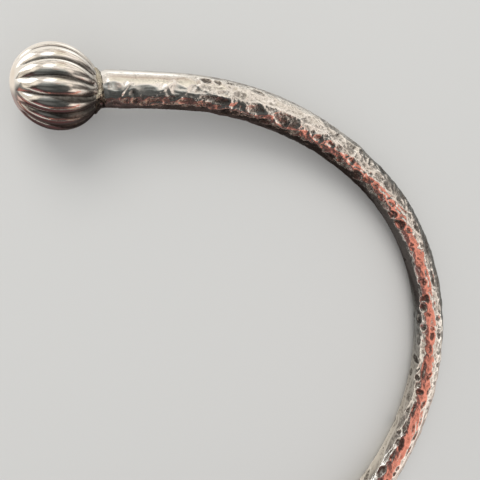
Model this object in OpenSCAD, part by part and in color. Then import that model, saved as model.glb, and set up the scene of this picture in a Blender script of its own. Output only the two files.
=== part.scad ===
// Open cuff bracelet in silver: a hammered round bar bent to an oval C, with a
// fluted ball soldered on each end. The C is open towards -X, one half mirrors the
// other across the plane y = 0, and the cuff lies on its side as it rests by
// itself: on both balls and on the middle of its back.

/* [Bar] */
// Diameter of the round bar at its arms and round its back
bar_d = 3.8; // [3:0.1:5]
// How much thinner the shoulders are hammered
shoulder_thinning = 0.04; // [0.04:0.02:0.2]
// Length of each straight arm, from the centre of its ball to the first bend
arm_len = 10.7; // [9:0.1:16]
// Radius of the bend at each shoulder, to the middle of the bar
shoulder_r = 40; // [34:0.5:46]
// Angle that each shoulder bends through
shoulder_angle = 43; // [38:1:46]
// Radius of the bend round the back, to the middle of the bar
back_r = 29.5; // [26:0.5:33]
// Angle round the back, from its middle to each shoulder
back_angle = 51; // [50:1:55]

/* [Ball ends] */
// Diameter of each ball over the crests of its flutes
ball_d = 8.5; // [7:0.1:10]
// Number of flutes round each ball
flute_count = 14; // [10:2:18]
// Depth of the creases between the flutes
crease_depth = 0.3; // [0.15:0.05:0.5]
// Turn of the flutes about the bar, towards the inside of the cuff
flute_turn = 10; // [0:1:12]
// Angle from the outer pole of the ball to the edge of its plain domed cap
cap_angle = 34; // [25:1:40]
// Angle over which the creases deepen from nothing to their full depth
crease_run = 10; // [6:1:14]
// Diameter of the solder collar where the ball meets the bar
collar_d = 4.5; // [4.2:0.1:5.5]
// Length of the collar's cone along the bar
collar_len = 0.6; // [0.3:0.1:1.5]

/* [Detail] */
// Flat steps across each flute
flute_steps = 4; // [4:2:6]
// Angle between the rings of points along each ball
ring_step = 9; // [7:1:12]

/* [Hidden] */
$fn = 64;

bar_r = bar_d / 2;
shoulder_bar_r = (bar_d - shoulder_thinning) / 2;
ball_r = ball_d / 2;
collar_r = collar_d / 2;

// The arms spread a little from the balls to the shoulders
arm_spread = back_angle + shoulder_angle - 90;

// Plan of the bar's middle line. The back bends round a point on the X axis and the
// shoulder round a second point, on the line through the join of the two bends.
centre_step = shoulder_r - back_r;
shoulder_dx = -centre_step * cos(back_angle);
shoulder_y = -centre_step * sin(back_angle);
bend_start = 90 + arm_spread;
back_x = arm_len * cos(arm_spread) - shoulder_r * cos(bend_start) - shoulder_dx;
shoulder_x = back_x + shoulder_dx;
ball_y = shoulder_y + shoulder_r * sin(bend_start) - arm_len * sin(arm_spread);
depth = back_x + back_r;

// Each shoulder's slimmer end runs a little way into the arm and into the back
lap_angle = 1;

// Each flute is a round arch between two creases
flute_half = 180 / flute_count;
crease_r = ball_r - crease_depth;
arch_rise = ball_r - crease_r * cos(flute_half);
arch_half = crease_r * sin(flute_half);
arch_r = (arch_half * arch_half + arch_rise * arch_rise) / (2 * arch_rise);
arch_centre = ball_r - arch_r;

// How much lower than the crest the flute's surface is, at an angle across the flute
function arch_drop(across) =
    ball_r - arch_centre * cos(across)
    - sqrt(pow(arch_r, 2) - pow(arch_centre * sin(across), 2));

// Share of the full depth, at an angle along the ball from its outer pole
function fade(t) = t <= 0 ? 0 : t >= 1 ? 1 : t * t * (3 - 2 * t);
collar_angle = 180 - asin(collar_r / ball_r);
function depth_share(along) =
    fade((along - cap_angle) / crease_run)
    * fade((collar_angle + crease_run / 2 - along) / crease_run);

function ball_point(along, round) =
    let (
        across = (round + flute_half) % (2 * flute_half) - flute_half,
        r = ball_r - depth_share(along) * arch_drop(across)
    )
    [r * sin(along) * cos(round), r * sin(along) * sin(round), -r * cos(along)];

round_steps = flute_count * flute_steps;
round_angles = [for (i = [0 : round_steps - 1]) i * 360 / round_steps];
ring_count = round(180 / ring_step) - 1;
ring_angles = [for (k = [1 : ring_count]) k * 180 / (ring_count + 1)];

// The ball rests on the lowest part of its flutes, a little nearer than their crests
rest_share = [for (a = [-flute_half : 0.5 : flute_half])
    (ball_r - arch_drop(a)) * cos(a + flute_turn)];
ball_rest = max(rest_share);

// The cuff leans down from its balls, which are thicker than the bar at the back
lean = asin((ball_rest - bar_r) / depth);
middle_x = (depth * cos(lean) + bar_r - ball_r) / 2;

// Closed ball with its pole line on Z and the plain cap at the bottom
module fluted_ball() {
    low = len(ring_angles) * round_steps;
    points = concat(
        [for (along = ring_angles) for (round = round_angles) ball_point(along, round)],
        [[0, 0, -ball_r], [0, 0, ball_r]]
    );
    sides = [for (k = [0 : len(ring_angles) - 2]) for (i = [0 : round_steps - 1])
        let (
            j = (i + 1) % round_steps,
            a = k * round_steps,
            b = a + round_steps
        )
        each [[a + i, b + i, b + j], [a + i, b + j, a + j]]];
    last = low - round_steps;
    ends = [for (i = [0 : round_steps - 1])
        let (j = (i + 1) % round_steps)
        each [[low, i, j], [low + 1, last + j, last + i]]];
    polyhedron(points, concat(sides, ends), convexity = 4);
}

// Straight stretch of the bar, from the centre of its ball, with the solder collar
module arm() {
    neck = sqrt(ball_r * ball_r - collar_r * collar_r);
    rotate_extrude()
        polygon([
            [0, 0],
            [collar_r, 0],
            [collar_r, neck],
            [bar_r, neck + collar_len],
            [bar_r, arm_len],
            [0, arm_len]
        ]);
}

// One end of the cuff: arm and ball, pointing along the arm's own line
module terminal() {
    translate([0, ball_y, 0])
        rotate([0, 0, arm_spread])
            rotate([0, 90, 0])
                union() {
                    arm();
                    rotate([0, 0, flute_turn])
                        fluted_ball();
                }
}

// Bent stretch of the bar between two angles about a centre on the plan
module bend(centre, radius, thickness_r, from, to) {
    translate([centre.x, centre.y, 0])
        rotate([0, 0, from])
            rotate_extrude(angle = to - from)
                translate([radius, 0])
                    circle(r = thickness_r);
}

module shoulder() {
    bend(
        [shoulder_x, shoulder_y], shoulder_r, shoulder_bar_r,
        back_angle - lap_angle, bend_start + lap_angle
    );
}

module back() {
    bend([back_x, 0], back_r, bar_r, -back_angle, back_angle);
}

module cuff() {
    color("silver")
        translate([-middle_x, 0, ball_rest])
            rotate([0, lean, 0])
                union() {
                    back();
                    for (side = [0, 1])
                        mirror([0, side, 0]) {
                            terminal();
                            shoulder();
                        }
                }
}

cuff();
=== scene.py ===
import math

import bpy
import numpy as np
from mathutils import Matrix, Vector


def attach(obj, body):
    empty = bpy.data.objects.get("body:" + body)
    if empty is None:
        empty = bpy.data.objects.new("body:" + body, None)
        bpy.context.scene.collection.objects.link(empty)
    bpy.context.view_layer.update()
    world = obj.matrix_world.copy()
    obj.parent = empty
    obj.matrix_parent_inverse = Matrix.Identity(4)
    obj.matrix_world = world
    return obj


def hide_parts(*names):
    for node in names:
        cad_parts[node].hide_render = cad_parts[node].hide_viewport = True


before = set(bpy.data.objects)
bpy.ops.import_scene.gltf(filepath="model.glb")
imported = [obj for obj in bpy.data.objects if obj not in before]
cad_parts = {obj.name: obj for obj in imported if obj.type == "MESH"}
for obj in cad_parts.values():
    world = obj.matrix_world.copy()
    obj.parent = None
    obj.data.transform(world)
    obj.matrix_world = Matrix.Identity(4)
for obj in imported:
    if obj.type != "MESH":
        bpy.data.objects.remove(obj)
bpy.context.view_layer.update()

# Lengths are in millimetres and angles in degrees until a mesh is made, in metres
MM = 0.001

# Driving dimensions of the cuff, as the CAD model has them
BAR_D = 3.8
BALL_D = 8.5
ARM_LEN = 10.7
SHOULDER_R = 40.0
SHOULDER_ANGLE = 43.0
BACK_R = 29.5
BACK_ANGLE = 51.0
FLUTE_COUNT = 14
CREASE_DEPTH = 0.3
FLUTE_TURN = 10.0
CREASE_RUN = 10.0
COLLAR_D = 4.5

BAR_R = BAR_D / 2
BALL_R = BALL_D / 2
COLLAR_R = COLLAR_D / 2

# Plan of the bar's middle line, worked out as in the CAD model
ARM_SPREAD = BACK_ANGLE + SHOULDER_ANGLE - 90
BEND_START = 90 + ARM_SPREAD
SHOULDER_LEN = SHOULDER_R * math.radians(SHOULDER_ANGLE)
BACK_LEN = BACK_R * math.radians(BACK_ANGLE)
HALF_LEN = ARM_LEN + SHOULDER_LEN + BACK_LEN
CENTRE_STEP = SHOULDER_R - BACK_R
SHOULDER_DX = -CENTRE_STEP * math.cos(math.radians(BACK_ANGLE))
SHOULDER_Y = -CENTRE_STEP * math.sin(math.radians(BACK_ANGLE))
BACK_X = (
    ARM_LEN * math.cos(math.radians(ARM_SPREAD))
    - SHOULDER_R * math.cos(math.radians(BEND_START))
    - SHOULDER_DX
)
SHOULDER_X = BACK_X + SHOULDER_DX
BALL_Y = (
    SHOULDER_Y
    + SHOULDER_R * math.sin(math.radians(BEND_START))
    - ARM_LEN * math.sin(math.radians(ARM_SPREAD))
)
DEPTH = BACK_X + BACK_R

# Round arches between the creases of the ball
FLUTE_HALF = 180 / FLUTE_COUNT
CREASE_R = BALL_R - CREASE_DEPTH
ARCH_RISE = BALL_R - CREASE_R * math.cos(math.radians(FLUTE_HALF))
ARCH_HALF = CREASE_R * math.sin(math.radians(FLUTE_HALF))
ARCH_R = (ARCH_HALF**2 + ARCH_RISE**2) / (2 * ARCH_RISE)
ARCH_CENTRE = BALL_R - ARCH_R


def smooth(t):
    """Eases from 0 to 1 as t does."""
    t = np.clip(t, 0, 1)
    return t * t * (3 - 2 * t)


def ramp(value, start, end):
    """Eases from 0 to 1 as a value goes from start to end, up or down."""
    return smooth((value - start) / (end - start))


def arch_drop(across):
    """How much lower than its crest a flute's surface is, at an angle across it."""
    a = np.radians(across)
    return BALL_R - ARCH_CENTRE * np.cos(a) - np.sqrt(ARCH_R**2 - (ARCH_CENTRE * np.sin(a)) ** 2)


# The cuff lies on both balls and on the middle of its back, so it leans a little
REST_ANGLES = np.linspace(-FLUTE_HALF, FLUTE_HALF, 53)
BALL_REST = float(
    np.max((BALL_R - arch_drop(REST_ANGLES)) * np.cos(np.radians(REST_ANGLES + FLUTE_TURN)))
)
LEAN = math.asin((BALL_REST - BAR_R) / DEPTH)
MIDDLE_X = (DEPTH * math.cos(LEAN) + BAR_R - BALL_R) / 2
FLAT_TO_ROW = Matrix.Translation((-MIDDLE_X, 0, BALL_REST)) @ Matrix.Rotation(LEAN, 4, "Y")


def moved(points, matrix):
    """Points in millimetres, moved by a matrix."""
    m = np.array(matrix)
    return np.asarray(points, float) @ m[:3, :3].T + m[:3, 3]


def plan(along):
    """Middle line of the bar: points and outward directions on the flat plan.

    along is the length from the centre of the ball at +Y, round the back, to the
    centre of the ball at -Y.
    """
    along = np.asarray(along, float)
    half = np.minimum(along, 2 * HALF_LEN - along)
    side = np.where(along <= HALF_LEN, 1.0, -1.0)
    spread = math.radians(ARM_SPREAD)
    bend = np.radians(BEND_START) - (half - ARM_LEN) / SHOULDER_R
    turn = np.radians(BACK_ANGLE) - (half - ARM_LEN - SHOULDER_LEN) / BACK_R
    arm_or_shoulder = [half < ARM_LEN, half < ARM_LEN + SHOULDER_LEN]
    out = np.select(arm_or_shoulder, [math.radians(BEND_START), bend], turn)
    x = np.select(
        arm_or_shoulder,
        [half * math.cos(spread), SHOULDER_X + SHOULDER_R * np.cos(bend)],
        BACK_X + BACK_R * np.cos(turn),
    )
    y = np.select(
        arm_or_shoulder,
        [BALL_Y + half * math.sin(spread), SHOULDER_Y + SHOULDER_R * np.sin(bend)],
        BACK_R * np.sin(turn),
    )
    points = np.stack([x, side * y], -1)
    outward = np.stack([np.cos(out), side * np.sin(out)], -1)
    return points, outward


def blur(field, along_cells, round_cells):
    """Softens a field of rings by a few cells; it wraps round the bar."""
    for axis, width in ((0, along_cells), (1, round_cells)):
        reach = int(math.ceil(3 * width))
        weights = np.exp(-0.5 * (np.arange(-reach, reach + 1) / width) ** 2)
        weights /= weights.sum()
        pads = [(reach, reach) if a == axis else (0, 0) for a in (0, 1)]
        padded = np.pad(field, pads, mode="edge" if axis == 0 else "wrap")
        field = sum(
            w * np.take(padded, np.arange(k, k + field.shape[axis]), axis=axis)
            for k, w in enumerate(weights)
        )
    return field


# The bar's surface is a grid of rings and sides, about an eighth of a millimetre apart.
# It begins inside the skin of one ball and ends inside the skin of the other.
RINGS = 960
SIDES = 98
BAR_START = 3.3
BAR_END = 2 * HALF_LEN - BAR_START
RING_ALONG = np.linspace(BAR_START, BAR_END, RINGS)
RING_FROM_BALL = np.minimum(RING_ALONG, 2 * HALF_LEN - RING_ALONG)
SIDE_ANGLE = np.arange(SIDES) * 360 / SIDES - 180

# Hammer marks that show in the photograph, charted one by one. The angle goes round the bar
# from its top, and is positive towards the outside of the cuff. A mark cuts into those
# above it in the table.
# along, angle, length, width, depth, turn, dark
MARKS = [
    (5.0, -50, 1.8, 0.8, 0.06, 0, 0.55),
    (5.3, -62, 1.6, 1.0, 0.05, 0, 0.35),
    (8.9, -60, 2.2, 1.4, 0.06, 0, 0.4),
    (10.9, -58, 1.3, 1.0, 0.05, 0, 0.3),
    (12.7, -57, 1.9, 1.1, 0.06, 0, 0.2),
    (15.1, -58, 2.0, 1.2, 0.06, 0, 0.25),
    (6.5, -45, 1.0, 0.8, 0.07, 20, 0.6),
    (7.4, -45, 1.0, 0.8, 0.07, -20, 0.6),
    (9.3, -45, 1.8, 1.4, 0.10, 0, 0.6),
    (10.6, -45, 0.9, 1.0, 0.07, 0, 0.5),
    (11.7, -78, 3.4, 1.4, 0.10, 0, 0.45),
    (12.8, -43, 2.0, 1.1, 0.08, 0, 0.4),
    (14.9, -43, 2.0, 1.0, 0.08, 0, 0.4),
    (17.6, -60, 1.3, 1.2, 0.12, 0, 1.0),
    (18.8, -53, 1.0, 0.9, 0.10, 0, 0.8),
    (16.1, -23, 3.6, 0.9, 0.07, 3, 0.6),
    (11.3, -25, 1.9, 0.8, 0.06, 0, 0.55),
    (9.5, -20, 2.0, 0.7, 0.06, 0, 0.5),
    (7.3, -20, 1.2, 0.9, 0.08, 30, 0.6),
    (5.5, -15, 1.2, 0.7, 0.06, 0, 0.4),
    (8.5, -8, 2.4, 1.0, 0.045, 0, 0.0),
    (11.8, -5, 2.0, 1.1, 0.08, 0, 0.05),
    (5.2, -2, 2.0, 1.0, 0.07, 0, 0.05),
    (13.6, 0, 1.6, 1.1, 0.06, 0, 0.1),
    (14.9, 10, 1.4, 0.9, 0.04, -20, 0.25),
    (18.8, 8, 1.7, 1.3, 0.05, 0, 0.30),
    (14.9, 35, 1.3, 0.9, 0.09, 0, 0.75),
    (16.2, 35, 0.9, 0.8, 0.08, 0, 0.65),
    (18.0, 42, 2.0, 0.5, 0.05, 0, 0.4),
    (21.0, -25, 2.8, 1.4, 0.09, 0, 0.5),
    (22.5, -55, 1.7, 0.9, 0.10, 0, 0.8),
    (24.9, -22, 3.8, 1.8, 0.12, 5, 0.6),
    (26.5, -90, 1.8, 1.7, 0.10, 0, 0.6),
    (28.7, -22, 0.7, 0.9, 0.07, 0, 0.65),
    (29.8, -27, 1.5, 1.25, 0.10, 0, 0.5),
    (30.5, -8, 0.7, 1.0, 0.09, 10, 0.51),
    (31.7, -22, 1.5, 0.9, 0.08, 0, 0.5),
    (32.8, -17, 1.1, 0.9, 0.05, 0, 0.35),
    (35.2, -27, 1.3, 1.1, 0.08, 0, 0.55),
    (29.0, -65, 0.9, 0.9, 0.10, 0, 0.8),
    (32.7, -65, 1.8, 1.2, 0.10, 0, 0.7),
    (34.0, -48, 1.1, 0.9, 0.07, 0, 0.5),
    (32.2, 22, 1.2, 0.65, 0.07, 0, 0.44),
    (31.2, 45, 1.6, 1.2, 0.09, 0, 0.37),
    (34.2, 50, 3.0, 1.2, 0.09, 0, 0.37),
    (35.8, 27, 0.9, 1.0, 0.09, 0, 0.51),
    (35.5, -3, 0.55, 0.55, 0.06, 0, 0.51),
    (29.7, 10, 0.5, 0.45, 0.05, 0, 0.44),
    (20.8, 37, 1.9, 0.8, 0.08, 0, 0.44),
    (37.2, -57, 2.2, 1.5, 0.12, 0, 0.9),
    (38.8, -35, 1.6, 1.2, 0.09, 0, 0.55),
    (40.2, -32, 1.1, 1.0, 0.07, 0, 0.4),
    (42.2, -45, 1.6, 0.9, 0.08, 0, 0.45),
    (43.7, -27, 1.3, 1.0, 0.09, 0, 0.55),
    (45.3, -50, 1.5, 1.3, 0.11, 0, 0.8),
    (47.1, -45, 1.9, 1.4, 0.14, 0, 0.95),
    (48.6, -27, 1.3, 0.9, 0.10, 20, 0.75),
    (50.7, -42, 0.7, 0.7, 0.07, 0, 0.65),
    (51.4, -45, 0.6, 0.6, 0.06, 0, 0.6),
    (51.5, -5, 1.1, 1.05, 0.10, 0, 0.75),
    (38.4, -18, 0.8, 0.75, 0.07, 0, 0.55),
    (39.8, 0, 2.2, 1.1, 0.08, 0, 0.5),
    (41.6, 2, 1.7, 0.9, 0.07, 0, 0.5),
    (37.7, 25, 1.0, 1.3, 0.09, 0, 0.37),
    (39.8, 40, 1.7, 1.0, 0.09, 0, 0.65),
    (48.8, 10, 2.2, 0.9, 0.09, 0, 0.75),
    (44.3, 5, 1.5, 0.9, 0.06, 0, 0.35),
    (46.0, 35, 1.2, 1.4, 0.08, 0, 0.5),
    (53.7, -37, 2.2, 0.9, 0.07, 0, 0.45),
    (56.7, -45, 1.4, 1.3, 0.10, 0, 0.75),
    (55.4, -20, 1.3, 0.6, 0.08, -20, 0.7),
    (59.4, -47, 1.7, 1.4, 0.13, 0, 0.95),
    (60.7, -57, 1.5, 1.1, 0.10, 0, 0.85),
    (63.7, -62, 1.6, 0.9, 0.10, 0, 0.85),
    (61.8, -40, 0.6, 0.9, 0.06, 0, 0.5),
    (65.0, -25, 1.3, 0.8, 0.09, 0, 0.8),
    (63.9, -25, 0.8, 0.6, 0.06, 0, 0.6),
    (67.0, -35, 1.6, 1.1, 0.09, 0, 0.3),
    (60.2, -15, 1.1, 0.5, 0.07, -10, 0.75),
    (56.2, 2, 3.4, 0.55, 0.08, -8, 0.8),
    (54.7, 10, 1.1, 0.5, 0.07, -8, 0.7),
    (52.5, 15, 1.1, 0.6, 0.07, -15, 0.75),
    (62.4, 0, 1.1, 0.9, 0.09, 0, 0.75),
    (64.7, 5, 1.7, 0.8, 0.09, 0, 0.85),
    (60.7, 12, 2.3, 0.5, 0.06, -5, 0.6),
    (62.5, -80, 1.4, 1.0, 0.10, 0, 0.7),
    (64.3, -90, 1.7, 0.8, 0.08, 0, 0.7),
    (65.8, -85, 1.6, 0.7, 0.08, 0, 0.7),
    (68.9, -90, 1.7, 0.9, 0.09, 40, 0.8),
    (69.3, -3, 1.8, 0.7, 0.07, 10, 0.7),
    (69.3, 20, 0.8, 1.2, 0.07, 0, 0.6),
    (70.3, -48, 3.0, 0.7, 0.06, 0, 0.4),
    (72.6, -58, 2.8, 0.9, 0.07, 8, 0.55),
    (71.6, -68, 1.1, 1.0, 0.09, 0, 0.95),
    (71.0, -22, 1.5, 0.6, 0.08, -25, 0.8),
    (71.9, 18, 0.6, 1.2, 0.06, 0, 0.45),
    (73.1, -8, 1.2, 0.6, 0.07, -10, 0.7),
    (73.6, -45, 1.1, 1.1, 0.12, 0, 0.9),
    (74.4, 20, 0.6, 1.4, 0.06, 0, 0.45),
    (74.8, -85, 1.6, 0.8, 0.07, 10, 0.5),
    (75.2, -18, 1.4, 0.6, 0.08, -10, 0.8),
    (75.6, 18, 0.8, 1.2, 0.06, 0, 0.45),
    (76.9, -68, 1.4, 0.6, 0.07, -5, 0.7),
    (76.8, -48, 3.0, 0.6, 0.06, 0, 0.65),
    (79.4, -52, 3.2, 0.9, 0.06, 5, 0.65),
    (80.3, -70, 0.9, 0.7, 0.08, 0, 0.8),
    (81.9, -46, 2.0, 1.5, 0.10, 0, 0.85),
    (83.9, -62, 2.7, 0.7, 0.06, -8, 0.75),
    (84.2, -50, 2.6, 0.7, 0.06, 0, 0.6),
    (86.6, -55, 2.0, 1.1, 0.10, 0, 0.85),
    (78.8, -24, 1.6, 0.4, 0.06, 10, 0.6),
    (77.6, -2, 1.6, 0.5, 0.07, 0, 0.75),
    (79.9, -2, 2.2, 0.5, 0.07, -3, 0.85),
    (82.0, 0, 2.0, 0.45, 0.07, 0, 0.8),
    (84.9, -6, 0.9, 0.5, 0.07, 0, 0.9),
    (85.8, -6, 0.7, 0.6, 0.07, 0, 0.9),
]
# The charted marks are pressed deeper than that by this factor
CHARTED_DEEPER = 1.3
# Sharp ridges between the marks, rubbed bright, charted as lines of places
# height, half width, then along and angle of each place
RIDGES = [
    (0.07, 0.16, [(6.0, -24), (6.3, -12), (6.5, -2), (6.9, 10)]),
    (0.09, 0.22, [(9.8, -16), (10.3, -6), (10.7, 6), (11.3, 18)]),
    (0.05, 0.12, [(9.5, -24), (10.1, -21), (10.8, -24)]),
    (0.05, 0.12, [(4.4, -64), (6.2, -70), (8.2, -66), (9.6, -54), (11.4, -44), (12.0, -50)]),
    (0.05, 0.12, [
        (11.2, -58), (12.6, -50), (14.0, -54), (14.7, -66), (16.2, -58), (18.0, -42),
        (20.0, -44),
    ]),
    (0.04, 0.12, [(11.6, -8), (13.8, -15), (15.4, -8), (17.8, -12)]),
    (0.05, 0.14, [(13.4, -8), (13.9, 6), (14.4, 24)]),
    (0.06, 0.14, [
        (20.0, -50), (21.3, -38), (22.8, -22), (24.0, -42), (25.2, -56), (26.6, -38),
        (28.0, -22),
    ]),
    (0.05, 0.14, [(28.0, -22), (29.0, -40), (30.8, -36), (31.8, -30), (33.4, -26), (36.0, -40)]),
    (0.04, 0.12, [(21.0, -2), (24.0, 4), (27.5, -4), (30.2, 2), (33.0, -4)]),
    (0.04, 0.12, [
        (36.0, -18), (38.5, -24), (41.0, -16), (44.0, -20), (46.5, -12), (49.5, -20),
        (52.0, -12),
    ]),
    (0.03, 0.34, [
        (47.0, -64), (49.0, -61), (51.6, -60), (54.0, -62), (56.3, -63), (58.4, -64),
        (59.6, -70),
    ]),
    (0.05, 0.34, [
        (59.6, -70), (60.3, -79), (61.2, -70), (62.2, -60), (62.9, -62), (63.8, -77),
        (64.8, -70), (66.0, -66), (67.0, -77), (68.4, -68),
    ]),
    (0.05, 0.30, [(61.6, -88), (63.0, -97), (64.8, -92), (66.8, -85)]),
    (0.05, 0.14, [(52.0, -7), (54.6, -14), (57.5, -12), (60.6, -20), (63.0, -12), (66.0, -16)]),
    (0.05, 0.14, [(53.0, 22), (55.0, 10), (57.4, 14), (59.0, 4), (61.2, 16), (63.5, 22)]),
    (0.05, 0.14, [(38.0, 24), (40.2, 16), (42.6, 26), (45.0, 14), (47.6, 24), (50.0, 14)]),
    (0.05, 0.16, [
        (68.0, -55), (70.0, -58), (70.8, -68), (71.3, -82), (72.5, -80), (74.0, -68),
        (75.0, -63), (76.0, -75), (76.6, -82),
    ]),
    (0.05, 0.14, [(75.0, -62), (76.5, -57), (78.0, -58), (79.0, -65), (80.2, -77)]),
    (0.05, 0.16, [
        (78.2, -100), (79.2, -88), (81.0, -92), (82.6, -92), (84.0, -85), (84.6, -75),
        (86.2, -72),
    ]),
    (0.05, 0.14, [(84.5, -48), (85.5, -62), (86.2, -72)]),
    (0.05, 0.14, [(71.0, -84), (72.6, -94), (74.6, -98), (76.6, -90), (77.4, -78)]),
    (0.05, 0.14, [(68.0, -62), (69.4, -66), (70.6, -84), (72.0, -98)]),
    (0.05, 0.14, [
        (68.4, -10), (70.2, 4), (71.0, -8), (72.2, 2), (74.0, -8), (76.4, -2), (79.0, 8),
        (82.0, 10), (86.0, 8),
    ]),
]
# The stretch of the bar that the two tables cover
CHARTED_ALONG = (4.5, 86.5)
CHARTED_ANGLE = (-105.0, 55.0)

# Random marks: wide dishes and small waves everywhere, and dark marks and pits where
# nothing is charted. Each size lies between two limits, and the turns spread about 0.
# count, length, width, depth, dark, spread of the turns, everywhere
RANDOM_MARKS = [
    (480, (2.0, 5.5), (1.0, 1.9), (0.06, 0.13), (0.0, 0.1), 12, True),
    (700, (1.0, 3.2), (0.5, 1.1), (0.03, 0.06), (0.0, 0.25), 18, True),
    (330, (0.8, 2.4), (0.7, 1.4), (0.09, 0.15), (0.3, 0.9), 25, False),
    (500, (0.3, 0.7), (0.3, 0.5), (0.04, 0.08), (0.3, 0.7), 60, False),
]
MARK_SEED = 7
OUTLINE_SEED = 3

# How far from its middle a mark changes the surface, as a share of its longer side
MARK_REACH = 0.8
# Part of a mark's depth stands up as a rim, which slopes away outside the mark. Inside and
# out, places go by the square of their distance, which is 1 at the mark's edge.
RIM_SHARE = 0.4
RIM_REACH = 0.8
# How far each mark's outline strays from an oval, by the number of its waves
OUTLINE_WAVES = [(2, 0.16), (3, 0.14), (5, 0.10)]
# How steeply a mark's oxide darkens inwards from its edge
OXIDE_STEEPNESS = 3.5
# A dark mark has a line just outside its edge where the metal is rubbed bright
RIM_LIGHT = 1.3
RIM_LIGHT_AT = 0.07
RIM_LIGHT_WIDTH = 0.10
# How far beyond its two places each stretch of a ridge is worked out
RIDGE_REACH = 1

# Worn and wrinkled zones of the bar. Each eases in from the first to the second of two
# lengths from the nearer ball's centre, and of two angles round the bar.
ARM_ALONG = (15, 11)
ARM_OUTSIDE = [(-45, -15), (170, 140)]
BACK_ALONG = (42, 50)
BACK_INSIDE = [(-54, -64), (-150, -135)]
WRINKLED_ALONG = (26, 36)
WRINKLED_OUTSIDE = [(0, 25)]
# How much of the marks is rubbed off the arms and the back, and of the fine relief and
# clouds of oxide off the arms
ARM_RUBBED = 0.85
BACK_RUBBED = 0.6
ARM_WORN = 0.8

# The bar swells and thins a little along its length: along, change of radius
THICKNESS = [
    (0, 0.0), (12, 0.0), (24, 0.06), (31, 0.0), (40, -0.05), (52, 0.0), (70, 0.02), (134, 0.0),
]
# Fine relief all over the bar, stronger in dark marks: height, cells along, cells round
WRINKLES = [(0.005, 5, 1.4), (0.003, 1.1, 1.1)]
WRINKLES_IN_DARK = 1.5
# More on the outside of the back, in the same terms
OUTER_WRINKLES = (0.03, 2.6, 6)
# Nothing stands further than this above the bar's mean surface
HIGHEST = 0.09
# The bar's ends are rounded off, over these lengths from the balls' centres
END_ROUND = (4.9, 3.7)
END_DROP = 0.40
# Oxide gathers in hollows, which are places lower than the metal some cells round them,
# and in clouds
HOLLOW_CELLS = 2.5
HOLLOW_DEPTH = 0.02
HOLLOW_LIMITS = (-1, 0.6)
HOLLOW_DARK = 0.35
CLOUD_CELLS = (9, 5)
CLOUD_DARK = 0.2
DARKEST = 1.2

# The side of the bar that faces the inside of the cuff: the angle of its middle, and the
# cosines of the angles from there between which it begins
INSIDE_MIDDLE = -95
INSIDE_EDGE = (0.2, 0.7)


class Surface:
    """Height of the hammered bar over its round, how dark it is and where it is rubbed."""

    def __init__(self):
        self.height = np.zeros((RINGS, SIDES))
        self.dark = np.zeros((RINGS, SIDES))
        self.hammered = np.ones((RINGS, SIDES))
        self.ridge = np.zeros((RINGS, SIDES))
        self.ridge_height = np.zeros((RINGS, SIDES))
        self.rng = np.random.default_rng(OUTLINE_SEED)

    def press(self, along, angle, length, width, depth, turn, dark):
        """One hammer mark: a dish, nearly oval, with its rim a little above the surface."""
        rings = np.nonzero(np.abs(RING_ALONG - along) <= max(length, width) * MARK_REACH)[0]
        off_along = (RING_ALONG[rings] - along)[:, None]
        off_round = ((SIDE_ANGLE - angle + 180) % 360 - 180)[None, :] * math.pi / 180 * BAR_R
        c, s = math.cos(math.radians(turn)), math.sin(math.radians(turn))
        u = (off_along * c + off_round * s) / (length / 2)
        v = (off_round * c - off_along * s) / (width / 2)
        square = u * u + v * v
        bearing = np.arctan2(v, u)
        for waves, size in OUTLINE_WAVES:
            phase = self.rng.uniform(0, 2 * math.pi)
            square = square * (1 + size * np.sin(waves * bearing + phase))
        inside = square < 1
        if not inside.any():
            return
        old = self.height[rings]
        level = old[inside].mean()
        rim_height = depth * RIM_SHARE
        rim = level + rim_height * np.clip(1 - (square - 1) / RIM_REACH, 0, 1) ** 2
        outer = np.where(square < 1 + RIM_REACH, np.maximum(old, rim), old)
        dish = level + rim_height + depth * (square - 1)
        self.height[rings] = np.where(inside, dish, outer)
        tone = dark * smooth((1 - square) * OXIDE_STEEPNESS)
        self.dark[rings] = np.where(inside, tone, self.dark[rings])
        beyond = (np.sqrt(square) - 1) * min(length, width) / 2
        near_rim = np.exp(-(((beyond - RIM_LIGHT_AT) / RIM_LIGHT_WIDTH) ** 2))
        rim_light = min(RIM_LIGHT * dark, 1) * near_rim
        self.ridge[rings] = np.where(inside, 0, np.maximum(self.ridge[rings], rim_light))

    def raise_ridge(self, height, half_width, places):
        """A sharp ridge along a line of places."""
        mm_per_degree = math.pi / 180 * BAR_R
        for (along, angle), (next_along, next_angle) in zip(places, places[1:]):
            low, high = along - RIDGE_REACH, next_along + RIDGE_REACH
            rings = np.nonzero((RING_ALONG > low) & (RING_ALONG < high))[0]
            run = np.array([next_along - along, (next_angle - angle) * mm_per_degree])
            off_along = (RING_ALONG[rings] - along)[:, None]
            off_round = (SIDE_ANGLE - angle)[None, :] * mm_per_degree
            off = np.stack(np.broadcast_arrays(off_along, off_round), -1)
            share = np.clip(off @ run / (run @ run), 0, 1)
            distance = np.linalg.norm(off - share[..., None] * run, axis=-1)
            near = np.exp(-((distance / half_width) ** 2))
            self.ridge[rings] = np.maximum(self.ridge[rings], near)
            self.ridge_height[rings] = np.maximum(self.ridge_height[rings], near * height)


def inside_share(angle):
    """1 on the side of the bar that faces the inside of the cuff, and 0 beyond it."""
    return ramp(np.cos(np.radians(angle - INSIDE_MIDDLE)), *INSIDE_EDGE)


def charted(along, angle):
    """Whether a place is in the stretch of the bar whose marks are charted."""
    return (
        CHARTED_ALONG[0] < along < CHARTED_ALONG[1]
        and CHARTED_ANGLE[0] < angle < CHARTED_ANGLE[1]
    )


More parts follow.
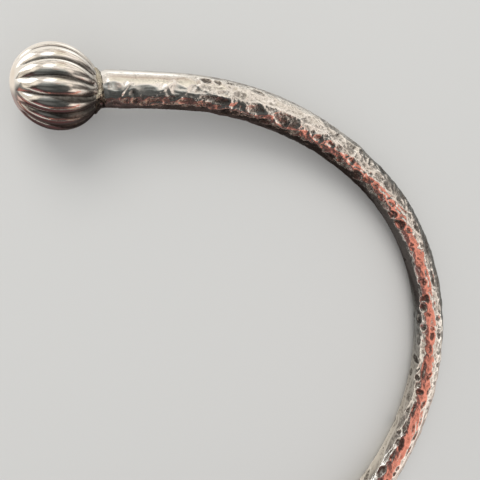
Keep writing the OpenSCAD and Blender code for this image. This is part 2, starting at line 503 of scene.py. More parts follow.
def scatter(surface, rng, count, length, width, depth, dark, turn, everywhere):
    """Random marks of one kind."""
    for _ in range(count):
        along = rng.uniform(BAR_START, BAR_END)
        angle = rng.uniform(-180, 180)
        mark = [rng.uniform(*limits) for limits in (length, width, depth)]
        mark += [rng.normal(0, turn), rng.uniform(*dark)]
        if everywhere or not charted(along, angle):
            surface.press(along, angle, *mark)


def ripple(rng, along_cells, round_cells):
    """Random waves of unit size, about as long and as wide as the cells given."""
    field = blur(rng.normal(size=(RINGS, SIDES)), along_cells, round_cells)
    return field / field.std()


def zone(along_span, angle_spans):
    """How far in a zone each place on the bar is, from 0 to 1."""
    share = ramp(RING_FROM_BALL, *along_span)[:, None]
    for span in angle_spans:
        share = share * ramp(SIDE_ANGLE, *span)[None, :]
    return share


def wear(surface):
    """Rubs the marks off the outsides of the arms and, partly, off the inside of the back."""
    arms = 1 - ARM_RUBBED * zone(ARM_ALONG, ARM_OUTSIDE)
    back = 1 - BACK_RUBBED * zone(BACK_ALONG, BACK_INSIDE)
    surface.height *= arms * back
    surface.dark *= arms
    surface.hammered *= arms * back


def weather(surface, rng):
    """Adds fine relief, and oxide where rubbing doesn't reach."""
    worn = 1 - ARM_WORN * zone(ARM_ALONG, [])
    hollow = blur(surface.height, HOLLOW_CELLS, HOLLOW_CELLS) - surface.height
    wrinkles = sum(size * ripple(rng, *cells) for size, *cells in WRINKLES)
    clouds = smooth(0.5 + 0.5 * ripple(rng, *CLOUD_CELLS))
    surface.height += wrinkles * worn * (1 + WRINKLES_IN_DARK * surface.dark)
    size, *cells = OUTER_WRINKLES
    outer = zone(WRINKLED_ALONG, WRINKLED_OUTSIDE)
    surface.height += size * outer * ripple(rng, *cells)
    gathered = HOLLOW_DARK * np.clip(hollow / HOLLOW_DEPTH, *HOLLOW_LIMITS)
    dark = surface.dark + gathered + CLOUD_DARK * clouds * worn
    surface.dark = np.clip(dark, 0, DARKEST)


def hammered_surface():
    """The whole surface of the bar, hammered, worn and darkened."""
    rng = np.random.default_rng(MARK_SEED)
    surface = Surface()
    for kind in RANDOM_MARKS:
        scatter(surface, rng, *kind)
    wear(surface)
    for along, angle, length, width, depth, turn, dark in MARKS:
        surface.press(along, angle, length, width, depth * CHARTED_DEEPER, turn, dark)
    for ridge in RIDGES:
        surface.raise_ridge(*ridge)
    surface.height += surface.ridge_height
    surface.dark *= 1 - surface.ridge
    weather(surface, rng)
    surface.height = np.minimum(surface.height - surface.height.mean(), HIGHEST)
    surface.height += np.interp(RING_ALONG, *zip(*THICKNESS))[:, None]
    # The ends are rounded off except on the inside, where the solder fills the corner
    outside = 1 - inside_share(SIDE_ANGLE)[None, :]
    surface.height -= END_DROP * ramp(RING_FROM_BALL, *END_ROUND)[:, None] * outside
    return surface


def mesh_object(name, verts, faces, material, attributes):
    """A smooth mesh object from points in millimetres, with values or vectors at them."""
    mesh = bpy.data.meshes.new(name)
    mesh.from_pydata((np.asarray(verts) * MM).tolist(), [], faces)
    for key, values in attributes.items():
        values = np.asarray(values, np.float32)
        kind, field = ("FLOAT_VECTOR", "vector") if values.ndim == 2 else ("FLOAT", "value")
        layer = mesh.attributes.new(key, kind, "POINT")
        layer.data.foreach_set(field, values.ravel())
    mesh.polygons.foreach_set("use_smooth", [True] * len(mesh.polygons))
    mesh.materials.append(material)
    mesh.update()
    obj = bpy.data.objects.new(name, mesh)
    bpy.context.scene.collection.objects.link(obj)
    return obj


def grid_faces(rings, sides):
    """Quads between rings of points that close on themselves."""
    faces = []
    for k in range(rings - 1):
        a = k * sides
        b = a + sides
        for i in range(sides):
            j = (i + 1) % sides
            faces.append((a + i, b + i, b + j, a + j))
    return faces


def end_faces(centre, ring_start, sides, flip):
    """Triangles that close a ring of points at its middle."""
    faces = []
    for i in range(sides):
        j = (i + 1) % sides
        pair = (ring_start + j, ring_start + i) if flip else (ring_start + i, ring_start + j)
        faces.append((centre, *pair))
    return faces


def closed_faces(rings, sides):
    """Faces of a tube of rings that two last points close, one at each end."""
    count = rings * sides
    return (
        grid_faces(rings, sides)
        + end_faces(count, 0, sides, False)
        + end_faces(count + 1, count - sides, sides, True)
    )


def hammered_bar(material):
    surface = hammered_surface()
    points, outward = plan(RING_ALONG)
    angle = np.radians(SIDE_ANGLE)
    radius = BAR_R + surface.height
    out = outward[:, None, :] * (radius * np.sin(angle))[..., None]
    up = (radius * np.cos(angle))[..., None]
    skin = np.concatenate([points[:, None, :] + out, up], -1).reshape(-1, 3)
    ends = np.concatenate([points[[0, -1]], [[0], [0]]], 1)
    # The bar as if it were straight, for grain that follows it
    coordinates = (RING_ALONG[:, None], BAR_R * np.sin(angle), BAR_R * np.cos(angle))
    straight = np.stack([np.broadcast_to(c, (RINGS, SIDES)) for c in coordinates], -1)
    straight_ends = [[BAR_START, 0, 0], [BAR_END, 0, 0]]
    return mesh_object(
        "hammered_bar",
        moved(np.concatenate([skin, ends]), FLAT_TO_ROW),
        closed_faces(RINGS, SIDES),
        material,
        {
            "straight": np.concatenate([straight.reshape(-1, 3), straight_ends]),
            "dark": [*surface.dark.ravel(), 0, 0],
            "hammered": [*surface.hammered.ravel(), 1, 1],
            "ridge": [*surface.ridge.ravel(), 0, 0],
        },
    )


def ball_to_row(side):
    """Places a ball's own frame, whose Z runs along the bar, in the row frame."""
    spread = Matrix.Rotation(math.radians(ARM_SPREAD), 4, "Z")
    lie = Matrix.Rotation(math.radians(90), 4, "Y")
    mirror = Matrix.Scale(-1, 4, (0, 1, 0)) if side < 0 else Matrix.Identity(4)
    return FLAT_TO_ROW @ mirror @ Matrix.Translation((0, BALL_Y, 0)) @ spread @ lie


def faced_outwards(faces, side):
    """Faces made for the mirrored end of the cuff, turned over for the other end."""
    return [face[::-1] for face in faces] if side > 0 else faces


# Angles along a ball go from its outer pole, and angles round it from its first flute
BALL_RINGS = 180
FLUTE_STEPS = 24
# The creases deepen gently between these angles
CREASE_IN = (28, 54)
# The flutes were cut by eye: they stray a little from the CAD's, they bend near the bar,
# and their crests differ a little in height
FLUTE_STRAY = -2.0
FLUTE_BEND = 6.5
BEND_FROM = 85
BEND_RUN = 53
CREST_LOWEST = -0.03
# Oxide lies in each crease, from one share of half a flute's width to another, and widens
# towards the bar, a little more on the upper flanks. Painted shade widens it further on the
# flutes of the ball's upper inner side, and painted shade closes over the flutes at the neck.
CREASE_EDGE = (0.70, 0.96)
WIDENS_ALONG = (70, 110)
WIDENS = 0.08
WIDENS_IN_SHADE = 0.45
WIDENS_OTHER_FLANK = 0.06
SHADED_FLUTES_MIDDLE = 246
SHADED_FLUTES_EDGE = (0.4, 0.8)
NECK_ALONG = (98, 136)
NECK_SHADE = 0.45
NECK_SHADE_ON_SHADED_FLUTES = 0.35


def fluted_ball(name, side, material, seed):
    rng = np.random.default_rng(seed)
    sides = FLUTE_COUNT * FLUTE_STEPS
    along = (np.arange(BALL_RINGS) + 1) * 180 / (BALL_RINGS + 1)
    turn = np.arange(sides) * 360 / sides
    flute = np.floor((turn + FLUTE_HALF) / (2 * FLUTE_HALF)).astype(int) % FLUTE_COUNT
    across = (turn + FLUTE_HALF) % (2 * FLUTE_HALF) - FLUTE_HALF
    from_crest = np.abs(across) / FLUTE_HALF
    collar_angle = 180 - math.degrees(math.asin(COLLAR_R / BALL_R))
    crease_out = (collar_angle + CREASE_RUN / 2, collar_angle - CREASE_RUN / 2)
    share = (ramp(along, *CREASE_IN) * ramp(along, *crease_out))[:, None]
    crest = rng.uniform(CREST_LOWEST, 0.0, FLUTE_COUNT)[flute] * (1 - from_crest**2)
    radius = BALL_R + share * (crest - arch_drop(across))[None, :]
    bend = FLUTE_STRAY + FLUTE_BEND * np.clip((along - BEND_FROM) / BEND_RUN, 0, 1) ** 2
    polar = np.radians(along)[:, None]
    around = np.radians(turn[None, :] + FLUTE_TURN + bend[:, None])
    out = radius * np.sin(polar)
    skin = np.stack([out * np.cos(around), out * np.sin(around), -radius * np.cos(polar)], -1)
    verts = np.concatenate([skin.reshape(-1, 3), [[0, 0, -BALL_R], [0, 0, BALL_R]]])
    middle = flute * 2 * FLUTE_HALF + FLUTE_TURN
    # Painted shade on the flutes of the ball's upper inner side, and over the neck
    shaded_flutes = ramp(np.cos(np.radians(middle - SHADED_FLUTES_MIDDLE)), *SHADED_FLUTES_EDGE)
    widens = np.where(across < 0, WIDENS + WIDENS_IN_SHADE * shaded_flutes, WIDENS_OTHER_FLANK)
    wider = widens[None, :] * ramp(along, *WIDENS_ALONG)[:, None]
    crease = ramp(from_crest[None, :] + wider, *CREASE_EDGE)
    neck_shade = NECK_SHADE + NECK_SHADE_ON_SHADED_FLUTES * shaded_flutes
    neck = ramp(along, *NECK_ALONG)[:, None] * neck_shade[None, :]
    dark = np.maximum(share * crease, neck)
    return mesh_object(
        name,
        moved(verts, ball_to_row(side)),
        faced_outwards(closed_faces(BALL_RINGS, sides), side),
        material,
        {"straight": verts, "dark": [*dark.ravel(), 0, 0]},
    )


COLLAR_RINGS = 28
COLLAR_SIDES = 120
# The collar along the bar, from inside the ball's skin: distance from the ball's middle,
# radius of the bead on the outside, radius of the fillet on the inside
COLLAR_SHAPE = [
    (3.45, 2.00, 2.40),
    (3.60, 2.05, 2.36),
    (3.74, 2.05, 2.24),
    (3.88, 1.97, 2.13),
    (4.05, 1.82, 2.04),
    (4.25, 1.66, 1.97),
    (4.60, 1.52, 1.88),
    (4.90, 1.45, 1.70),
]
# The solder is lumpy, in waves round the collar that twist along it. The lumps die out
# over these distances from the ball's middle.
LUMP_WAVES = (2, 3, 5, 8, 13)
LUMP_SIZE = 0.15
LUMP_TWIST = 3
LUMPS_END = (4.5, 4.0)
# The collar is closed inside the bar, this far under its surface
COLLAR_INSIDE = 0.6
# Painted shade darkens the collar where it ends on the bar and on its inner side, and dirt lies
# between the lumps
END_SHADE = (4.0, 4.2)
INNER_SHADE = 0.85
DIRT_PER_HOLLOW = 7
HOLLOW_DIRT = 0.8


def solder_collar(name, side, material, seed):
    """Uneven solder: a bead outside and a hollow fillet inside, between ball and bar."""
    rng = np.random.default_rng(seed)
    turn = np.arange(COLLAR_SIDES) * 2 * math.pi / COLLAR_SIDES
    shape_z, bead, fillet = (np.array(column) for column in zip(*COLLAR_SHAPE))
    z = np.linspace(shape_z[0], shape_z[-1], COLLAR_RINGS)
    # The ball's own X axis points down, and its Y axis to the outside of the cuff
    inside = inside_share(np.degrees(np.arctan2(np.sin(turn), -np.cos(turn))))
    radius = (
        np.interp(z, shape_z, bead)[:, None] * (1 - inside)
        + np.interp(z, shape_z, fillet)[:, None] * inside
    )
    lump = np.zeros_like(radius)
    for waves in LUMP_WAVES:
        size = rng.uniform(0.5, 1.0) * LUMP_SIZE / math.sqrt(waves)
        shift, twist = rng.uniform(0, 2 * math.pi), rng.normal(0, LUMP_TWIST)
        lump += size * np.cos(waves * turn[None, :] + shift + twist * (z - z[0])[:, None])
    radius += lump * ramp(z, *LUMPS_END)[:, None]
    inner = np.full((1, COLLAR_SIDES), BAR_R - COLLAR_INSIDE)
    radius = np.concatenate([inner, radius, inner])
    lump = np.concatenate([lump[:1], lump, lump[-1:]])
    z = np.concatenate([z[:1], z, z[-1:]])
    skin = [radius * np.cos(turn), radius * np.sin(turn), z[:, None] * np.ones_like(radius)]
    verts = np.stack(skin, -1).reshape(-1, 3)
    faces = grid_faces(len(z), COLLAR_SIDES)
    last = (len(z) - 1) * COLLAR_SIDES
    for i in range(COLLAR_SIDES):
        j = (i + 1) % COLLAR_SIDES
        faces.append((last + i, i, j, last + j))
    # Painted shade where the collar ends on the bar and on its inner side, and dirt between the lumps
    shade_and_dirt = np.maximum(ramp(z, *END_SHADE)[:, None], INNER_SHADE * inside[None, :])
    shade_and_dirt = np.maximum(shade_and_dirt, np.clip(-DIRT_PER_HOLLOW * lump, 0, HOLLOW_DIRT))
    return mesh_object(
        name,
        moved(verts, ball_to_row(side)),
        faced_outwards(faces, side),
        material,
        {"straight": verts, "dark": shade_and_dirt.ravel()},
    )


class Tree:
    """A short way to add and link shader nodes."""

    def __init__(self, tree):
        self.tree = tree
        tree.nodes.clear()

    def add(self, kind, settings=None, **inputs):
        node = self.tree.nodes.new(kind)
        for key, value in (settings or {}).items():
            setattr(node, key, value)
        for key, value in inputs.items():
            self.set(node, key.replace("_", " "), value)
        return node

    def set(self, node, key, value):
        socket = node.inputs[key]
        if isinstance(value, bpy.types.NodeSocket):
            self.tree.links.new(value, socket)
        else:
            socket.default_value = value

    def attribute(self, name, output="Fac"):
        return self.add("ShaderNodeAttribute", {"attribute_name": name}).outputs[output]

    def math(self, operation, *values):
        node = self.add("ShaderNodeMath", {"operation": operation})
        for index, value in enumerate(values):
            self.set(node, index, value)
        return node.outputs[0]

    def vector_math(self, operation, *values, output="Vector"):
        node = self.add("ShaderNodeVectorMath", {"operation": operation})
        for index, value in enumerate(values):
            self.set(node, index, value)
        return node.outputs[output]

    def span(self, value, low, high, to_low=0.0, to_high=1.0, ease="LINEAR"):
        """The value moved from one range to another, and held inside it."""
        node = self.add(
            "ShaderNodeMapRange", {"interpolation_type": ease},
            Value=value, From_Min=low, From_Max=high, To_Min=to_low, To_Max=to_high,
        )
        return node.outputs[0]

    def mix(self, share, a, b, blend="MIX"):
        node = self.add("ShaderNodeMix", {"data_type": "RGBA", "blend_type": blend})
        # The node's sockets for its share and for two colours
        for index, value in ((0, share), (6, a), (7, b)):
            self.set(node, index, value)
        return node.outputs[2]

    def noise(self, vector, scale, detail, roughness=0.5, stretch=(1, 1, 1)):
        mapping = self.add("ShaderNodeMapping", Vector=vector, Scale=stretch)
        where = mapping.outputs[0]
        node = self.add(
            "ShaderNodeTexNoise", Vector=where, Scale=scale, Detail=detail, Roughness=roughness
        )
        return node.outputs[0]

    def bump(self, height, size, under=None):
        """Relief of a size in millimetres, on top of other relief."""
        node = self.add("ShaderNodeBump", Strength=1.0, Distance=size * MM, Height=height)
        if under:
            self.set(node, "Normal", under)
        return node.outputs[0]

    def output(self, kind, surface):
        self.add(kind, Surface=surface)


def facets(tree, straight, scale, stretch):
    """Small hollows that meet in sharp ridges: their height, and how near a ridge is."""
    where = tree.add("ShaderNodeMapping", Vector=straight, Scale=stretch).outputs[0]
    distance, to_edge = (
        tree.add("ShaderNodeTexVoronoi", {"feature": kind}, Vector=where, Scale=scale).outputs[0]
        for kind in ("F1", "DISTANCE_TO_EDGE")
    )
    near = tree.span(to_edge, low=0.02, high=0.11, to_low=1.0, to_high=0.0)
    return tree.math("MULTIPLY", distance, distance), near


# Silver on the ridges, rubbed bright
RUBBED_SILVER = (0.97, 0.955, 0.93)
# The facets wander by this much. The fine ones are rubbed and raised by these shares of
# what the wide ones are.
FACET_WANDER = (0.9, 0.9, 0.9)
FINE_RUBBED = 0.45
FINE_HEIGHT = 0.14
# How much oxide rubbing takes off a ridge
RIDGE_CLEANED = 0.45
# Oxide makes silver rougher, and so does its grain
OXIDE_ROUGHER = 0.26
GRAIN_ROUGHER = 0.07


def silver(name, bright, tarnish, oxide, gloss, relief, fleck, scratch, hammer=0.0):
    """Silver that is polished where it stands proud and oxidised in its hollows.

    The colours are of clean, tarnished and oxidised silver, gloss is the roughness of the
    clean metal and fleck the strength of the specks of oxide. Relief, scratch and hammer
    are the heights of the pits, scratches and facets in millimetres.
    """
    material = bpy.data.materials.new(name)
    material.use_nodes = True
    tree = Tree(material.node_tree)
    straight = tree.attribute("straight", "Vector")
    dark = tree.attribute("dark")
    mottle = tree.noise(straight, scale=4.0, detail=3.0, roughness=0.6)
    cloud = tree.noise(straight, scale=0.6, detail=3.0)
    grain = tree.noise(straight, scale=3.0, detail=6.0, roughness=0.6, stretch=(0.25, 1, 1))
    # Oxide fills the marks unevenly and leaves clusters of specks outside them
    clusters = tree.noise(straight, scale=0.9, detail=2.0, stretch=(0.5, 1, 1))
    specks = tree.span(mottle, low=0.35, high=0.65, to_low=-fleck, to_high=fleck)
    in_marks = tree.span(dark, low=0.1, high=0.6, to_low=0.2)
    in_clusters = tree.span(clusters, low=0.42, high=0.6, to_low=0.2, to_high=1.1)
    flecked = tree.math("MULTIPLY", specks, tree.math("MAXIMUM", in_marks, in_clusters))
    uneven = tree.math("ADD", dark, flecked)
    clean = tree.mix(tree.span(cloud, low=0.3, high=0.7), (*bright, 1), (*tarnish, 1))
    if hammer:
        # The ridges are rubbed clean, here and there
        warp = tree.add("ShaderNodeTexNoise", Vector=straight, Scale=1.1, Detail=2.0)
        wavy = tree.vector_math("MULTIPLY_ADD", warp.outputs["Color"], FACET_WANDER, straight)
        hammered = tree.attribute("hammered")
        ridge = tree.attribute("ridge")
        wide, wide_ridge = facets(tree, wavy, scale=0.9, stretch=(0.5, 1, 1))
        fine, fine_ridge = facets(tree, wavy, scale=2.2, stretch=(0.6, 1, 1))
        in_places = tree.span(clusters, low=0.35, high=0.55, to_low=1.0, to_high=0.3)
        rubbed = tree.math("MULTIPLY", wide_ridge, in_places)
        rubbed = tree.math("MAXIMUM", rubbed, tree.math("MULTIPLY", fine_ridge, FINE_RUBBED))
        rubbed = tree.math("MULTIPLY", rubbed, hammered)
        rubbed = tree.math("MAXIMUM", rubbed, ridge)
        cleaned = tree.math("MULTIPLY", rubbed, RIDGE_CLEANED)
        uneven = tree.math("SUBTRACT", uneven, cleaned)
        polished = tree.span(hammered, low=0, high=1, to_low=0.8, to_high=0.0)
        clean = tree.mix(tree.math("MAXIMUM", rubbed, polished), clean, (*RUBBED_SILVER, 1))
    oxidised = tree.span(uneven, low=0.15, high=1.1)
    colour = tree.mix(oxidised, clean, (*oxide, 1))
    worn_rough = tree.span(oxidised, low=0, high=1, to_low=gloss, to_high=gloss + OXIDE_ROUGHER)
    grain_rough = tree.span(grain, low=0.35, high=0.75, to_high=GRAIN_ROUGHER)
    scratches = tree.noise(
        straight, scale=14.0, detail=3.0, roughness=0.6, stretch=(0.08, 1, 1)
    )
    pits = tree.noise(straight, scale=5.0, detail=3.0, roughness=0.6)
    if hammer:
        pits = tree.math("MULTIPLY", pits, tree.span(hammered, low=0, high=1, to_low=0.2))
    normal = tree.bump(pits, relief, under=tree.bump(scratches, scratch))
    if hammer:
        height = tree.math("ADD", wide, tree.math("MULTIPLY", fine, FINE_HEIGHT))
        normal = tree.bump(tree.math("MULTIPLY", height, hammered), hammer, under=normal)
    rough = tree.math("ADD", worn_rough, grain_rough)
    shader = tree.add(
        "ShaderNodeBsdfPrincipled", Metallic=1.0, Base_Color=colour, Roughness=rough, Normal=normal
    )
    tree.output("ShaderNodeOutputMaterial", shader.outputs[0])
    return material


FLOOR_COLOUR = (0.60, 0.60, 0.59, 1)
FLOOR_ROUGHNESS = 0.9


def floor_material():
    material = bpy.data.materials.new("pale_floor")
    material.use_nodes = True
    shader = material.node_tree.nodes["Principled BSDF"]
    shader.inputs["Base Color"].default_value = FLOOR_COLOUR
    shader.inputs["Roughness"].default_value = FLOOR_ROUGHNESS
    return material


def toward(azimuth, zenith):
    """Direction from its angle round from +X and its angle down from straight up."""
    a, z = math.radians(azimuth), math.radians(zenith)
    return Vector((math.cos(a) * math.sin(z), math.sin(a) * math.sin(z), math.cos(z)))


def sky(tree, base, zones):
    """Colour by direction, with each zone easing in over those before it."""
    facing = tree.add("ShaderNodeTexCoord").outputs["Generated"]
    colour = base
    for tint, azimuth, zenith, full, none in zones:
        middle = toward(azimuth, zenith)
        near = tree.vector_math("DOT_PRODUCT", facing, middle, output="Value")
        from_cos, to_cos = math.cos(math.radians(none)), math.cos(math.radians(full))
        mask = tree.span(near, from_cos, to_cos, ease="SMOOTHSTEP")
        colour = tree.mix(mask, colour, (*tint, 1))
    cloud = tree.noise(facing, scale=4.5, detail=2.0)
    light = tree.span(cloud, low=0.36, high=0.64, to_low=0.68, to_high=1.32)
    return tree.mix(1.0, colour, light, "MULTIPLY")


def patch_mask(tree, centre, stretch, full, none):
    """Strength of an oval patch about a place on a level card."""
    where = tree.add("ShaderNodeTexCoord").outputs["Object"]
    off = tree.vector_math("SUBTRACT", where, Vector((*centre, 0)) * MM)
    scaled = tree.vector_math("DIVIDE", off, Vector((*stretch, 1)) * MM)
    length = tree.vector_math("LENGTH", scaled, output="Value")
    return tree.span(length, none, full, ease="SMOOTHSTEP")


def glow(name, colour, zones, oval):
    """Material of a card that gives light, has soft patches and may fade past an oval."""
    material = bpy.data.materials.new(name)
    material.use_nodes = True
    tree = Tree(material.node_tree)
    colour = (*colour, 1)
    for tint, *patch in zones:
        colour = tree.mix(patch_mask(tree, *patch), colour, (*tint, 1))
    surface = tree.add("ShaderNodeEmission", Color=colour, Strength=1.0).outputs[0]
    if oval:
        clear = tree.add("ShaderNodeBsdfTransparent").outputs[0]
        mix = tree.add("ShaderNodeMixShader")
        for index, value in enumerate((patch_mask(tree, *oval), clear, surface)):
            tree.set(mix, index, value)
        surface = mix.outputs[0]
    tree.output("ShaderNodeOutputMaterial", surface)
    return material


def only_reflected(obj):
    """A studio card that shows in the silver and nowhere else."""
    obj.visible_camera = False
    obj.visible_diffuse = False
    obj.visible_shadow = False
    obj.visible_transmission = False
    obj.visible_volume_scatter = False


def card(name, height, corners, material):
    """Card with its corners in millimetres, level where they have no height of their own."""
    mesh = bpy.data.meshes.new(name)
    corners = [(*corner, 0)[:3] for corner in corners]
    mesh.from_pydata([Vector(corner) * MM for corner in corners], [], [range(len(corners))])
    obj = bpy.data.objects.new(name, mesh)
    bpy.context.scene.collection.objects.link(obj)
    obj.location.z = height * MM
    mesh.materials.append(material)
    return obj


# What the silver reflects of the room. Colour, azimuth and zenith angle of the middle,
# and the angles from it of full and of no strength.
SKY_BASE = (0.055, 0.036, 0.033)
SKY_ZONES = [
    ((0.94, 0.87, 0.79), 62, 73, 60, 86),
    ((1.06, 0.97, 0.88), 40, 68, 14, 26),
    ((0.94, 0.83, 0.74), 342, 50, 22, 38),
    ((0.36, 0.33, 0.30), 10, 64, 15, 26),
    ((0.12, 0.10, 0.09), 10, 84, 15, 25),
    ((0.42, 0.38, 0.35), 352, 84, 4, 8),
    ((0.50, 0.46, 0.42), 25, 80, 4, 8),
    ((1.00, 0.93, 0.84), 40, 77, 9, 15),
    ((0.26, 0.24, 0.22), 352, 49, 8, 13),
    ((0.22, 0.20, 0.18), 355, 66, 8, 12),
    ((0.95, 0.83, 0.76), 328, 76, 13, 20),
    ((1.30, 1.22, 1.12), 341, 77, 7, 12),
    ((0.50, 0.30, 0.22), 300, 91, 7, 15),
    ((1.00, 0.93, 0.78), 80, 50, 10, 18),
    ((0.60, 0.50, 0.42), 80, 71, 7, 12),
    ((2.0, 2.0, 1.95), 113, 41, 11, 17),
    ((0.88, 0.81, 0.71), 167, 60, 14, 26),
    ((0.86, 0.78, 0.68), 181, 85, 20, 28),
    ((0.24, 0.095, 0.10), 231, 87, 16, 23),
    ((1.6, 1.6, 1.55), 151, 79, 4, 9),
]
# What it reflects of the floor. Colour, centre and reach of an oval, and the shares of it
# of full and of no strength.
FLOOR_GLOW = (0.20, 0.20, 0.19)
FLOOR_ZONES = [
    ((1.10, 1.06, 0.98), (-45, 95), (115, 70), 0.80, 1.0),
    ((0.88, 0.84, 0.78), (-6, 42), (30, 11), 0.6, 1.1),
    # The darker strip along the arm is a painted shadow of the arm
    ((0.50, 0.48, 0.45), (2, 34), (26, 6), 0.7, 1.2),
    ((1.5, 1.5, 1.45), (-84, 92), (26, 26), 0.6, 1.0),
    ((0.045, 0.03, 0.03), (-62, -40), (38, 28), 0.6, 1.1),
    ((1.00, 0.95, 0.88), (-37, 42), (16, 11), 0.6, 1.1),
    ((0.07, 0.04, 0.04), (-38, 12), (26, 17), 0.7, 1.1),
    ((0.95, 0.86, 0.76), (-34, 33), (7, 4), 0.4, 1.2),
    ((0.45, 0.36, 0.34), (-29, 28), (5, 3), 0.4, 1.2),
    ((0.50, 0.20, 0.16), (-57, 14), (18, 11), 0.4, 1.1),
    ((1.5, 1.47, 1.4), (-14, 60), (11, 18), 0.6, 1.1),
    ((0.80, 0.58, 0.50), (-38, 25), (5, 3), 0.4, 1.2),
    ((0.10, 0.045, 0.045), (-22, 0), (24, 22), 0.6, 1.05),
    ((0.060, 0.045, 0.042), (-12, 25), (18, 8), 0.7, 1.1),
    ((0.024, 0.018, 0.016), (5, 10), (20, 18), 0.8, 1.05),
    ((0.080, 0.072, 0.068), (16, 10), (6, 10), 0.6, 1.1),
    ((0.55, 0.33, 0.26), (-4, 6), (10, 5), 0.4, 1.2),
    ((0.42, 0.38, 0.33), (27, -23), (30, 24), 0.6, 1.1),
    ((0.72, 0.66, 0.57), (32, -36), (30, 30), 0.7, 1.05),
    ((0.68, 0.56, 0.50), (44, -18), (20, 18), 0.6, 1.1),
]
FLOOR_EDGE = [(-3000, -3000), (3000, -3000), (3000, 3000), (-3000, 3000)]
# A dark card over the cuff, lighter in places, that fades past an oval
DARK_GLOW = (0.055, 0.058, 0.056)
DARK_ZONES = [
    ((0.135, 0.135, 0.13), (-65, -14), (50, 26), 0.4, 1.1),
    ((0.10, 0.10, 0.095), (4, 6), (24, 24), 0.3, 1.1),
    ((0.24, 0.25, 0.24), (-60, 34), (50, 22), 0.3, 1.1),
    ((0.50, 0.52, 0.49), (0, 48), (40, 22), 0.45, 1.1),
    ((0.66, 0.66, 0.64), (-52, 52), (50, 16), 0.70, 0.95),
    ((0.55, 0.40, 0.33), (-21, 41), (8, 5), 0.5, 1.2),
]
DARK_OVAL = ((-34, -10), (68, 72), 0.72, 1.0)
DARK_EDGE = [(-102, 66), (-102, -84), (36, -84), (36, 66)]
# A warm card, lower than the camera, that gives the salmon band along the bar
WARM_GLOW = (0.88, 0.325, 0.235)
WARM_ZONES = [((0.19, 0.090, 0.080), (-8, -30), (29, 50), 0.75, 1.0)]
WARM_EDGE = [
    (4, 2), (-12, -13), (-26, -17), (-45, -30), (-45, -50),
    (30, -50), (31, -12), (29, 0), (20, 12), (12, 13),
]
# A far band of bright light, standing upright, that shows along the inside of the back
EDGE_GLOW = (0.90, 0.84, 0.76)
EDGE_CORNERS = [
    (-386, -103, 4), (-328, -229, 3), (-229, -328, 2), (-124, -380, 2),
    (-124, -380, 42), (-229, -328, 60), (-328, -229, 62), (-386, -103, 44),
]
# A small bright card near one ball, upright too
GLINT_GLOW = (2.2, 2.2, 2.15)
GLINT_CORNERS = [(-63, 41, 2), (-51, 61, 2), (-51, 61, 25), (-63, 41, 25)]
# Name, height, corners, colour, zones and the oval past which the card fades
CARDS = [
    ("floor_card", -0.01, FLOOR_EDGE, FLOOR_GLOW, FLOOR_ZONES, None),
    ("dark_card", 60, DARK_EDGE, DARK_GLOW, DARK_ZONES, DARK_OVAL),
    ("warm_card", 22, WARM_EDGE, WARM_GLOW, WARM_ZONES, None),
    ("edge_card", 0, EDGE_CORNERS, EDGE_GLOW, [], None),
    ("glint_card", 0, GLINT_CORNERS, GLINT_GLOW, [], None),
]
# Even light of the room, which the silver doesn't reflect
ROOM_LIGHT = (0.80, 0.80, 0.80, 1)
# The key lamp, in metres and watts
KEY_SIZE = (0.35, 0.25)
KEY_POWER = 1.2
KEY_COLOUR = (1.0, 0.98, 0.94)
KEY_PLACE = (-0.15, 0.35, 0.35)


def studio():
    floor = card("floor", 0, FLOOR_EDGE, floor_material())
    floor.visible_glossy = False
    for name, height, corners, *light in CARDS:
        only_reflected(card(name, height, corners, glow(name, *light)))

    world = bpy.data.worlds.new("studio")
    bpy.context.scene.world = world
    world.use_nodes = True
    tree = Tree(world.node_tree)
    reflection = tree.add("ShaderNodeLightPath").outputs["Is Glossy Ray"]
    colour = tree.mix(reflection, ROOM_LIGHT, sky(tree, (*SKY_BASE, 1), SKY_ZONES))
    background = tree.add("ShaderNodeBackground", Color=colour, Strength=1.0)
    tree.output("ShaderNodeOutputWorld", background.outputs[0])

    key = bpy.data.lights.new("key", "AREA")
    key.shape = "RECTANGLE"
    key.size, key.size_y = KEY_SIZE
    key.energy = KEY_POWER
    key.color = KEY_COLOUR
    lamp = bpy.data.objects.new("key", key)
    bpy.context.scene.collection.objects.link(lamp)
    lamp.visible_glossy = False
    lamp.location = KEY_PLACE
    lamp.rotation_mode = "QUATERNION"
    lamp.rotation_quaternion = (-lamp.location).to_track_quat("-Z", "Y")


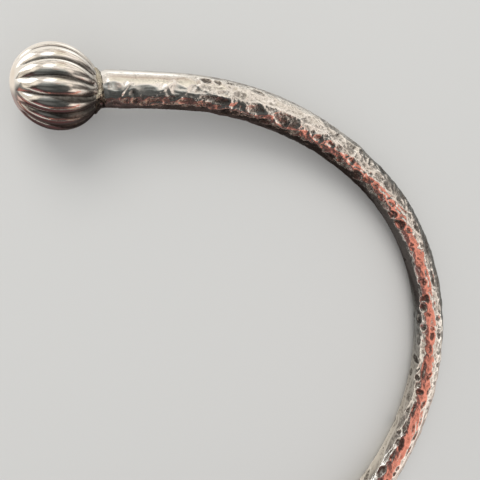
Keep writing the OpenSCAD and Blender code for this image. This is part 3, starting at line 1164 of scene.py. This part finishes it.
# The photo's camera, fitted to the thickness and the middle line of the bar in the photo:
# its place in millimetres, the direction that it looks in and the one that is up
CAMERA_PLACE = (-21.84, 21.84, 56.46)
CAMERA_AHEAD = (0.32275, -0.11142, -0.93990)
CAMERA_UP = (0.00520, 0.99324, -0.11595)


def camera():
    data = bpy.data.cameras.new("camera")
    data.lens = 36.0
    data.sensor_width = 36.0
    data.clip_start = 0.001
    data.clip_end = 10.0
    obj = bpy.data.objects.new("camera", data)
    bpy.context.scene.collection.objects.link(obj)
    ahead = Vector(CAMERA_AHEAD)
    right = ahead.cross(Vector(CAMERA_UP)).normalized()
    up = right.cross(ahead).normalized()
    turn = Matrix((right, up, -ahead)).transposed()
    obj.matrix_world = Matrix.Translation(Vector(CAMERA_PLACE) * MM) @ turn.to_4x4()
    bpy.context.scene.camera = obj


bpy.context.scene.view_settings.view_transform = "Standard"
camera()
studio()

bar_silver = silver(
    "bar_silver", bright=(0.77, 0.74, 0.70), tarnish=(0.52, 0.49, 0.45), oxide=(0.14, 0.125, 0.115),
    gloss=0.10, relief=0.013, fleck=0.42, scratch=0.008, hammer=0.12,
)
ball_silver = silver(
    "ball_silver", bright=(0.87, 0.84, 0.81), tarnish=(0.78, 0.745, 0.69), oxide=(0.05, 0.045, 0.04),
    gloss=0.09, relief=0.004, fleck=0.05, scratch=0.003,
)
solder_silver = silver(
    "solder_silver", bright=(0.70, 0.65, 0.54), tarnish=(0.38, 0.34, 0.26), oxide=(0.05, 0.045, 0.04),
    gloss=0.18, relief=0.10, fleck=0.60, scratch=0.004,
)

pieces = [
    (hammered_bar(bar_silver), "hammered_silver"),
    (fluted_ball("fluted_ball_a", 1, ball_silver, seed=11), "fluted_silver"),
    (fluted_ball("fluted_ball_b", -1, ball_silver, seed=12), "fluted_silver"),
    (solder_collar("solder_collar_a", 1, solder_silver, seed=21), "solder_silver"),
    (solder_collar("solder_collar_b", -1, solder_silver, seed=22), "solder_silver"),
]
for piece, slot in pieces:
    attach(piece, "root")
    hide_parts("cuff")
